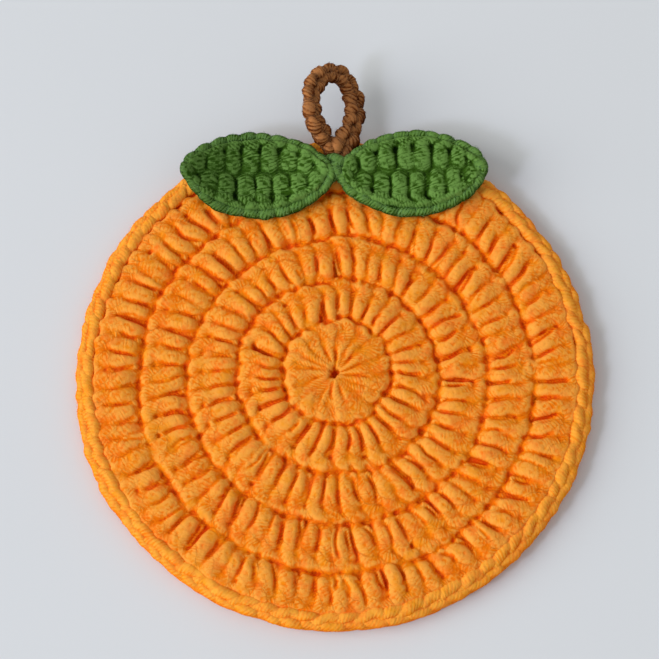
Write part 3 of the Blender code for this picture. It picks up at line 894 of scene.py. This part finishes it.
def leaf(name, cx, cy, half_length, half_width, turn, curl, seed):
    """curl: how far the left tip and the right tip turn up, and the outer side, in mm."""
    rng = np.random.default_rng(seed)
    yarn = Yarn(seed + 1, 4, 2.5)
    yarn.hair_floor = LEAF_BASE + 1.2
    face = Relief((-half_length - 1, -half_width - 1), (half_length + 1, half_width + 1), 0.17, LEAF_BASE + 1.7, seed + 3)

    def outline(x, length=half_length, width=half_width):
        return width * np.maximum(1 - np.clip(np.abs(x) / length, 0, 1) ** 2, 0) ** LEAF_POWER

    base = LEAF_BASE
    up = (0, 0, 1.0)

    def put(p):
        """Leaf space to the row frame, with the leaf's tips turned up a little."""
        c, s = math.cos(math.radians(turn)), math.sin(math.radians(turn))
        q = p.copy()
        q[..., 0] = cx + p[..., 0] * c - p[..., 1] * s
        q[..., 1] = cy + p[..., 0] * s + p[..., 1] * c
        x, y = p[..., 0] / half_length, p[..., 1] / half_width
        tip = np.where(x < 0, curl[0], curl[1]) * np.clip((np.abs(x) - 0.15) / 0.85, 0, 1.2) ** 2
        q[..., 2] = p[..., 2] + tip + curl[2] * np.clip(y - 0.3, 0, 1) ** 2
        return q

    # what shows between the posts
    for side in (1, -1):
        xs = (np.arange(8) - 3.5) * 3.95 + (0.6 if side > 0 else -0.8)
        n = len(xs)
        jit = lambda s: rng.normal(0, s, n)
        xs = xs + jit(0.22)
        full = outline(xs)
        fan = 1 + 0.14 * (np.abs(xs) / half_length) ** 2
        fat = 1 + jit(0.07)
        lift = jit(0.10)
        # low legs
        mid = 0.5 * (xs[1:] + xs[:-1])
        fm = outline(mid)
        pts = np.stack([np.stack([mid, side * fm * v, base + dz + 0 * mid], -1) for v, dz in ((0.10, 2.5), (0.25, 2.9), (0.45, 2.8), (0.62, 2.2))], 1)
        face.press(pts, np.full(pts.shape[:2], 1.0), 0.7, 2.2, 0.4)
        # posts
        t = np.array([0.0, 0.08, 0.24, 0.42, 0.56, 0.68])
        z = np.array([2.3, 2.85, 3.35, 3.45, 3.3, 2.6])
        pts = np.stack([
            np.stack([xs * (1 + (fan - 1) * ti * 1.6) + jit(0.10), side * (0.1 + (full - 0.1) * ti), base + zi + lift], -1)
            for ti, zi in zip(t, z)], 1)
        rad = np.tile((1.8, 1.95, 2.05, 2.1, 2.0, 1.6), (n, 1)) * fat[:, None]
        rad = np.minimum(rad, 0.40 * full[:, None] + 0.6)
        face.press(pts, rad, 1.0, 2.4, 0.5)
        # the head of each, slanting over its end
        hd = np.stack([
            np.stack([xs * fan + dx + jit(0.08), side * full * v, base + dz + lift], -1)
            for dx, v, dz in ((-1.9, 0.52, 2.5), (-1.2, 0.57, 3.2), (0.1, 0.64, 3.5), (1.3, 0.70, 3.2), (2.0, 0.74, 2.4))], 1)
        rad = np.minimum(np.tile((0.95, 1.15, 1.25, 1.15, 0.9), (n, 1)) * fat[:, None], 0.24 * full[:, None] + 0.45)
        face.press(hd, rad, 1.1, 2.2, 0.45)
        # openings at the outer ends of the posts, and between them
        gap = mid + rng.normal(0, 0.2, n - 1)
        fg = outline(gap)
        pts = np.stack([np.stack([gap * (1 + 0.1 * v), side * fg * v], -1) for v in (0.44, 0.56, 0.66)], 1)
        face.cut(pts, np.clip(rng.normal(0.5, 0.12, n - 1), 0.3, 0.8), np.clip(rng.normal(0.5 if side > 0 else 0.3, 0.4, n - 1), 0.0, 1.3))
        pts = np.stack([np.stack([gap, side * fg * v], -1) for v in (0.12, 0.28, 0.44)], 1)
        face.cut(pts, np.full(n - 1, 0.30), np.clip(rng.normal(0.25 if side > 0 else 0.40, 0.25, n - 1), 0.0, 0.9))
    # the foundation chain, low along the middle
    xs = (np.arange(10) - 4.5) * 3.3
    pts = np.stack([np.stack([xs + u, 0 * xs + w, base + dz + 0 * xs], -1) for u, w, dz in ((-1.9, -0.3, 1.9), (-0.7, 0.1, 2.4), (0.7, 0.2, 2.4), (1.9, -0.2, 1.9))], 1)
    face.press(pts, np.full(pts.shape[:2], 0.8), 0.6, 2.2, 0.3)

    # edge chain, all round
    steps = 600
    ang = np.linspace(0, TAU, steps, endpoint=False)
    inset = 1.45
    ex = (half_length - inset * 0.9) * np.cos(ang)
    ey = np.sign(np.sin(ang)) * (half_width - inset) * np.maximum(1 - np.cos(ang) ** 2, 0) ** LEAF_POWER
    ex, ey = np.r_[ex, ex[0]], np.r_[ey, ey[0]]
    run = np.concatenate([[0], np.cumsum(np.hypot(np.diff(ex), np.diff(ey)))])
    total = run[-1]
    links = 22

    def edge(s, out, z):
        x, y = np.interp(np.mod(s, total), run, ex), np.interp(np.mod(s, total), run, ey)
        ahead, behind = np.mod(s + 0.8, total), np.mod(s - 0.8, total)
        d = unit(np.stack([np.interp(ahead, run, ex) - np.interp(behind, run, ex), np.interp(ahead, run, ey) - np.interp(behind, run, ey)], -1))
        return np.stack([x + d[..., 1] * out, y - d[..., 0] * out, base + z + 0 * s], -1)

    pitch = total / links
    at = np.arange(links) * pitch
    jit = lambda s: rng.normal(0, s, links)
    slide = jit(0.05)
    # inner legs
    spec = ((-0.55, 0.35, 2.3), (-0.25, 0.9, 3.1), (0.12, 1.05, 3.45), (0.48, 0.9, 3.1), (0.80, 0.3, 2.2))
    pts = np.stack([edge(at + (u + slide + jit(0.015)) * pitch, -0.85 * w + jit(0.07), z + jit(0.08)) for u, w, z in spec], 1)
    face.press(pts, np.tile((0.8, 1.0, 1.08, 1.0, 0.75), (links, 1)) * (1 + jit(0.06))[:, None], 1.2, 2.2, 0.4)
    # outer legs
    spec = ((-0.50, 0.45, 1.0), (-0.22, 0.85, 1.6), (0.12, 1.0, 1.85), (0.48, 0.85, 1.65), (0.80, 0.35, 1.0))
    pts = np.stack([edge(at + (u + slide + jit(0.015)) * pitch, 0.55 * w + jit(0.06), z - 0.10 * w + jit(0.07)) for u, w, z in spec], 1)
    yarn.sweep(put(pts), np.tile((0.85, 1.02, 1.1, 1.02, 0.8), (links, 1)) * 1.02, 26, 14, np.tile(up, (links, 1)), hairs=22, ridge=0.07, lumps=0.06)
    # lower strand of the edge
    pts = np.stack([edge(at + u * pitch, 0.25 + 0.2 * w, 0.95) for u, w in ((-0.7, 0), (-0.2, 1), (0.3, 1), (0.8, 0))], 1)
    yarn.sweep(put(pts), np.full(pts.shape[:2], 0.95), 9, 8, np.tile(up, (links, 1)))
    if seed == 30:
        # the yarn that joins the inner ends of the two leaves
        join = np.array([
            [(-3.2, 48.9, 7.0), (-0.9, 49.3, 7.5), (0.9, 48.6, 7.5), (2.6, 47.6, 6.8)],
            [(-2.4, 46.2, 7.0), (-0.5, 47.2, 7.9), (0.8, 47.9, 7.8), (2.6, 48.8, 6.8)],
            [(-2.2, 47.6, 7.0), (-0.6, 46.4, 8.0), (0.5, 45.2, 7.9), (1.7, 43.9, 6.8)],
            [(-1.9, 43.9, 6.9), (-0.5, 44.9, 7.6), (0.6, 45.8, 7.8), (1.9, 46.8, 6.9)],
        ])
        yarn.sweep(join, np.tile((0.9, 1.15, 1.15, 0.9), (4, 1)), 18, 12, np.tile(up, (4, 1)), hairs=30, ridge=0.07, lumps=0.06)
    if seed == 40:
        # the tied-off end of the yarn at the outer tip
        knot = np.array([[(half_length - 2.4, 0.9, base + 2.5), (half_length - 1.3, 0.6, base + 2.9), (half_length - 0.7, -0.1, base + 2.3), (half_length - 1.3, -0.8, base + 2.4)]])
        yarn.sweep(put(knot), np.full((1, 4), 0.95), 14, 12, np.array([up]), hairs=30, ridge=0.07)
    face.finish(plies=4, pitch=2.5, ridge=0.10, lumps=1.0, blur=1)
    # the face ends under the outer legs
    gx, gy = np.meshgrid(face.x, face.y)

    def inside(by, gx=gx, gy=gy):
        return outline(gx, half_length - by, half_width - by) - np.abs(gy)

    dip = np.clip((1.5 - inside(0.6)) / 1.3, 0, 1)
    face.z -= 1.5 * dip * dip
    mx, my = np.meshgrid(0.5 * (face.x[1:] + face.x[:-1]), 0.5 * (face.y[1:] + face.y[:-1]))
    wool = GREEN_LEFT_SHADED if seed == 30 else GREEN
    top = face.mesh(name + "_face", wool, inside(1.0, mx, my) > 0, place=put)
    stitches = yarn.mesh(name + "_edge", wool)
    down = fuzz(name + "_fuzz", [yarn], GREEN_FIBRE, seed + 2, 5000)
    # the thin cloth under the posts, in the dark ground colours of painted shade
    ground = leaf_sheet(name + "_cloth", half_length - 1.6, half_width - 1.6, base + 0.4, base + 1.6, put)
    return ground, top, stitches, down


def leaf_sheet(name, half_length, half_width, low, high, put):
    segments, rings = 64, 8
    verts = []
    for z in (low, high):
        verts.append((0.0, 0.0, z))
        for i in range(1, rings + 1):
            k = i / rings
            for j in range(segments):
                a = TAU * j / segments
                x = math.cos(a)
                y = math.copysign(max(1 - x * x, 0.0) ** LEAF_POWER, math.sin(a))
                verts.append((x * half_length * k, y * half_width * k, z))
    half = 1 + rings * segments
    faces = []
    for base, up in ((0, False), (half, True)):
        for j in range(segments):
            j2 = (j + 1) % segments
            tri = (base, base + 1 + j, base + 1 + j2)
            faces.append(tri if up else tri[::-1])
            for i in range(rings - 1):
                a, b = base + 1 + i * segments, base + 1 + (i + 1) * segments
                quad = (a + j, b + j, b + j2, a + j2)
                faces.append(quad if up else quad[::-1])
    a, b = 1 + (rings - 1) * segments, half + 1 + (rings - 1) * segments
    for j in range(segments):
        j2 = (j + 1) % segments
        faces.append((a + j, a + j2, b + j2, b + j))
    me = bpy.data.meshes.new(name)
    pts = put(np.array(verts)) * MM
    me.from_pydata([tuple(p) for p in pts], [], faces)
    me.validate()
    me.materials.append(SHADED_GREEN_GROUND)
    ob = bpy.data.objects.new(name, me)
    bpy.context.scene.collection.objects.link(ob)
    return ob


# ----------------------------------------------------------------------
# hanging loop: a chain of crocheted links round a teardrop
# ----------------------------------------------------------------------
LOOP_LINKS = 15


def loop_line(count=900):
    """Middle line of the chain: from its left end on the mat, up and round the far end, and back lower down on the right, past the rim."""
    key = np.array([
        (-0.3, 51.0, 6.3), (-1.25, 52.3, 6.9), (-2.6, 53.4, 8.3), (-4.1, 54.7, 10.4), (-5.15, 56.6, 12.3), (-5.7, 59.8, 13.4),
        (-5.4, 63.6, 13.1), (-4.2, 66.7, 11.9), (-2.6, 68.5, 10.6), (-1.1, 69.5, 9.1), (0.6, 69.75, 7.5), (2.05, 69.0, 6.0),
        (3.45, 67.0, 4.9), (4.2, 63.8, 4.4), (4.0, 60.1, 4.7), (3.3, 57.4, 5.5), (2.4, 54.6, 6.3), (1.5, 52.7, 6.5), (1.0, 51.2, 6.3),
    ])
    p = smooth(key[None], count)[0]
    run = np.concatenate([[0], np.cumsum(np.linalg.norm(np.diff(p, axis=0), axis=1))])
    return p, run


def stem():
    """A crocheted chain: every link is a loop of yarn pulled through the one before, so its face shows a row of Vs."""
    rng = np.random.default_rng(51)
    yarn = Yarn(52, 4, 2.6)
    yarn.hair_floor = 0.5
    line, run = loop_line()
    total = run[-1]
    pitch = total / LOOP_LINKS
    n = LOOP_LINKS
    middle = np.array([-0.3, 62.5, 7.6])

    def frame_at(s):
        s0 = np.clip(s, 0, total)
        here = np.stack([np.interp(s0, run, line[:, c]) for c in range(3)], -1)
        a = np.stack([np.interp(np.clip(s + 0.6, 0, total), run, line[:, c]) for c in range(3)], -1)
        b = np.stack([np.interp(np.clip(s - 0.6, 0, total), run, line[:, c]) for c in range(3)], -1)
        t = unit(a - b)
        here = here + t * (s - s0)[..., None]
        # the chain's flat face turns slowly about the line
        face = np.array([0.62, -0.10, 0.78]) + 0 * here
        roll = 0.30 * np.sin(s / total * TAU + 0.6)
        w = unit(np.cross(face, t))
        f = np.cross(t, w)
        c, sn = np.cos(roll)[..., None], np.sin(roll)[..., None]
        return here, t, w * c + f * sn, f * c - w * sn

    def place(s, out, z):
        here, _t, w, f = frame_at(s)
        return here + w * np.asarray(out)[..., None] + f * np.asarray(z)[..., None]

    at = np.arange(n) * pitch + 0.1 * pitch
    jit = lambda s: rng.normal(0, s, n)
    slide, fat = jit(0.04), 1 + jit(0.04)
    # the lower, right-hand run lies flatter and looks wider
    wide = 1 + 0.13 * np.clip((at / total - 0.5) / 0.15, 0, 1)
    for side in (1, -1):
        spec = ((-0.10, 0.15, -0.75), (0.06, 0.55, -0.15), (0.38, 1.10, 0.35), (0.72, 1.12, 0.42), (1.0, 0.70, 0.15), (1.16, 0.22, -0.5))
        pts = np.stack([place(at + (u + slide + jit(0.02)) * pitch, side * w * 1.08 * wide + jit(0.08), z + jit(0.08)) for u, w, z in spec], 1)
        yarn.sweep(pts, np.tile((0.58, 0.94, 1.34, 1.30, 0.92, 0.52), (n, 1)) * (fat * wide)[:, None], 32, 18, np.tile((0.1, 0.1, 1.0), (n, 1)), rough=0.05, hairs=34, ridge=0.10, lumps=0.18)
    # the bump behind every link
    pts = np.stack([place(at + u * pitch, jit(0.08), z + jit(0.04)) for u, z in ((0.0, -0.6), (0.3, -0.95), (0.7, -0.95), (1.05, -0.6))], 1)
    yarn.sweep(pts, np.full(pts.shape[:2], 0.92), 10, 12, np.tile((1.0, 0.3, 0.1), (n, 1)), hairs=14)
    return yarn.mesh("stem_chain", BROWN), fuzz("stem_fuzz", [yarn], BROWN_FIBRE, 53, 3500)


# ----------------------------------------------------------------------
# pieces
# ----------------------------------------------------------------------
face = Relief((-56.5, -56.5), (56.5, 56.5), 0.18, 3.3, 91)
tops, back = mat_rounds(face)
rim, rim_yarn = mat_rim(tops[len(ROUNDS) - 1], face)
mat_back = back.mesh("mat_back", BACK_ORANGE)
stitch_rounds = mat_faces(face) + [mat_back]
mat_fuzz = (fuzz("mat_fuzz", [rim_yarn], ORANGE_FIBRE, 61, 6000),)
# the cloth under the stitches, in the dark ground colours of painted shade
mat_cloth = disc("mat_cloth", 55.2, 1.4, 2.6, SHADED_ORANGE_GROUND)
leaf_parts = [leaf(*row, seed=30 + 10 * i) for i, row in enumerate(LEAVES)]
chain, chain_fuzz = stem()

for ob in (*stitch_rounds, rim, mat_cloth, *mat_fuzz):
    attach(ob, "root")
for parts in leaf_parts:
    for ob in parts:
        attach(ob, "root")
for ob in (chain, chain_fuzz):
    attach(ob, "root")

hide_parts("round_mat")
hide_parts("leaf_left")
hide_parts("leaf_right")
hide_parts("hanging_loop")


# ----------------------------------------------------------------------
# floor, light and camera
# ----------------------------------------------------------------------
def look_at(ob, target):
    ob.rotation_mode = "QUATERNION"
    ob.rotation_quaternion = (Vector(target) - ob.location).to_track_quat("-Z", "Y")


def studio():
    me = bpy.data.meshes.new("floor")
    s = 3.0
    me.from_pydata([(-s, -s, 0), (s, -s, 0), (s, s, 0), (-s, s, 0)], [], [(0, 1, 2, 3)])
    floor = bpy.data.objects.new("floor", me)
    bpy.context.scene.collection.objects.link(floor)
    n = Nodes("floor paint")
    geo = n.new("ShaderNodeTexCoord")
    noise = n.new("ShaderNodeTexNoise", noise_dimensions="3D")
    noise.inputs["Scale"].default_value = 9.0
    noise.inputs["Detail"].default_value = 3.0
    n.link(geo.outputs["Object"], noise.inputs["Vector"])
    n.link(n.mix(noise.outputs["Fac"], (0.700, 0.705, 0.722, 1), (0.730, 0.735, 0.752, 1)), n.bsdf.inputs["Base Color"])
    n.bsdf.inputs["Roughness"].default_value = 0.9
    n.bsdf.inputs["Specular IOR Level"].default_value = 0.1
    me.materials.append(n.mat)

    world = bpy.data.worlds.new("studio")
    bpy.context.scene.world = world
    world.use_nodes = True
    bg = next(x for x in world.node_tree.nodes if x.type == "BACKGROUND")
    bg.inputs["Color"].default_value = (0.975, 1.0, 0.99, 1.0)
    bg.inputs["Strength"].default_value = 0.515

    def area(name, location, size, power, colour, target=(0, 0, 0)):
        light = bpy.data.lights.new(name, "AREA")
        light.shape = "DISK"
        light.size = size
        light.energy = power
        light.color = colour
        ob = bpy.data.objects.new(name, light)
        ob.location = location
        bpy.context.scene.collection.objects.link(ob)
        look_at(ob, target)
        return ob

    area("key", (-1.09, -0.69, 1.0), 0.32, 6.3, (0.74, 0.80, 1.0))
    # a broad window on the left
    area("window", (-3.5, -0.55, 2.05), 3.3, 118.0, (0.97, 1.0, 1.0))


def camera():
    data = bpy.data.cameras.new("camera")
    data.sensor_width = 36.0
    data.lens = 105.64
    data.clip_start, data.clip_end = 0.01, 20.0
    ob = bpy.data.objects.new("camera", data)
    target = Vector((-1.189, 10.087, 2.4)) * MM
    tilt = math.radians(71.9)
    ob.location = target + Vector((0, -math.cos(tilt), math.sin(tilt))) * 0.43125
    bpy.context.scene.collection.objects.link(ob)
    look_at(ob, target)
    bpy.context.scene.camera = ob


studio()
camera()
bpy.context.scene.view_settings.view_transform = "Standard"
